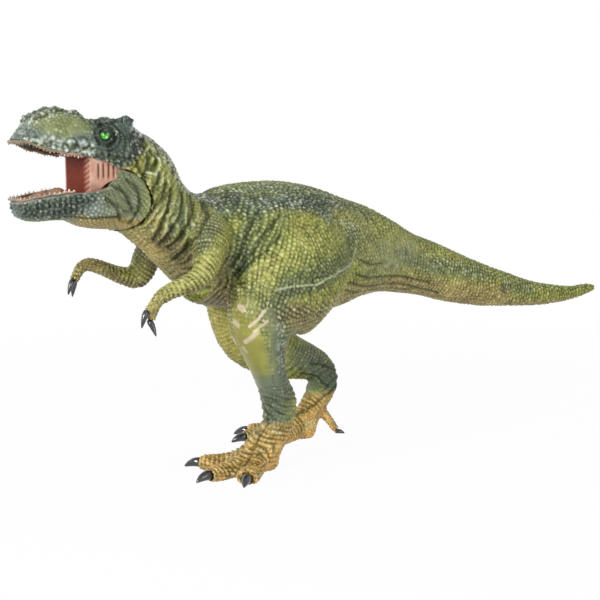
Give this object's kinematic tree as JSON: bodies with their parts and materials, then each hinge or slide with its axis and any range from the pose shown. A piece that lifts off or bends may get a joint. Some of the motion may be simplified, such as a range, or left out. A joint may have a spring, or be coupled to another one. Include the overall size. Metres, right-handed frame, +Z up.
{
  "type": "toy dinosaur figure",
  "caption": "Painted two-legged predatory dinosaur toy figure striding with its mouth wide open; separate limbs, tail, claws, teeth and eyes, and a hinged lower jaw.",
  "frame": {"origin": "on the floor, at the centre of the bottom of the figure's bounding box", "axes": "+Z up; the figure faces -Y with its tail towards +Y; +X is towards the figure's own left side"},
  "size_m": [0.075, 0.2975, 0.1381],
  "materials": {
    "body_skin": "painted soft vinyl, yellow-green with a dark wash and golden tan feet and throat",
    "head_skin": "painted soft vinyl, dark slate teal with an olive yellow snout patch",
    "mouth": "satin salmon pink paint",
    "tongue": "satin brown paint",
    "teeth": "cream gloss paint",
    "claws": "black gloss paint",
    "eyes": "vivid green gloss paint with a black pupil",
    "pin": "dark plastic"
  },
  "bodies": {
    "figure": {"torso": "body_skin", "tail": "body_skin", "left_arm": "body_skin", "right_arm": "body_skin", "left_leg": "body_skin", "right_leg": "body_skin", "head": "head_skin", "left_hand_claw_1": "claws", "left_hand_claw_2": "claws", "left_foot_inner_claw": "claws", "left_foot_middle_claw": "claws", "left_foot_outer_claw": "claws", "left_foot_back_claw": "claws", "right_hand_claw_1": "claws", "right_hand_claw_2": "claws", "right_foot_inner_claw": "claws", "right_foot_middle_claw": "claws", "right_foot_outer_claw": "claws", "right_foot_back_claw": "claws", "mouth_lining": "mouth", "upper_teeth": "teeth", "left_eye": "eyes", "right_eye": "eyes", "jaw_pin": "pin"},
    "jaw": {"lower_jaw": "head_skin", "tongue": "tongue", "lower_teeth": "teeth"}
  },
  "joints": [
    {"name": "jaw_hinge", "type": "hinge", "parent": "figure", "child": "jaw", "pos_m": [0, -0.11349, 0.10447], "axis": [-1, 0, 0], "range_deg": [0, 20]}
  ]
}
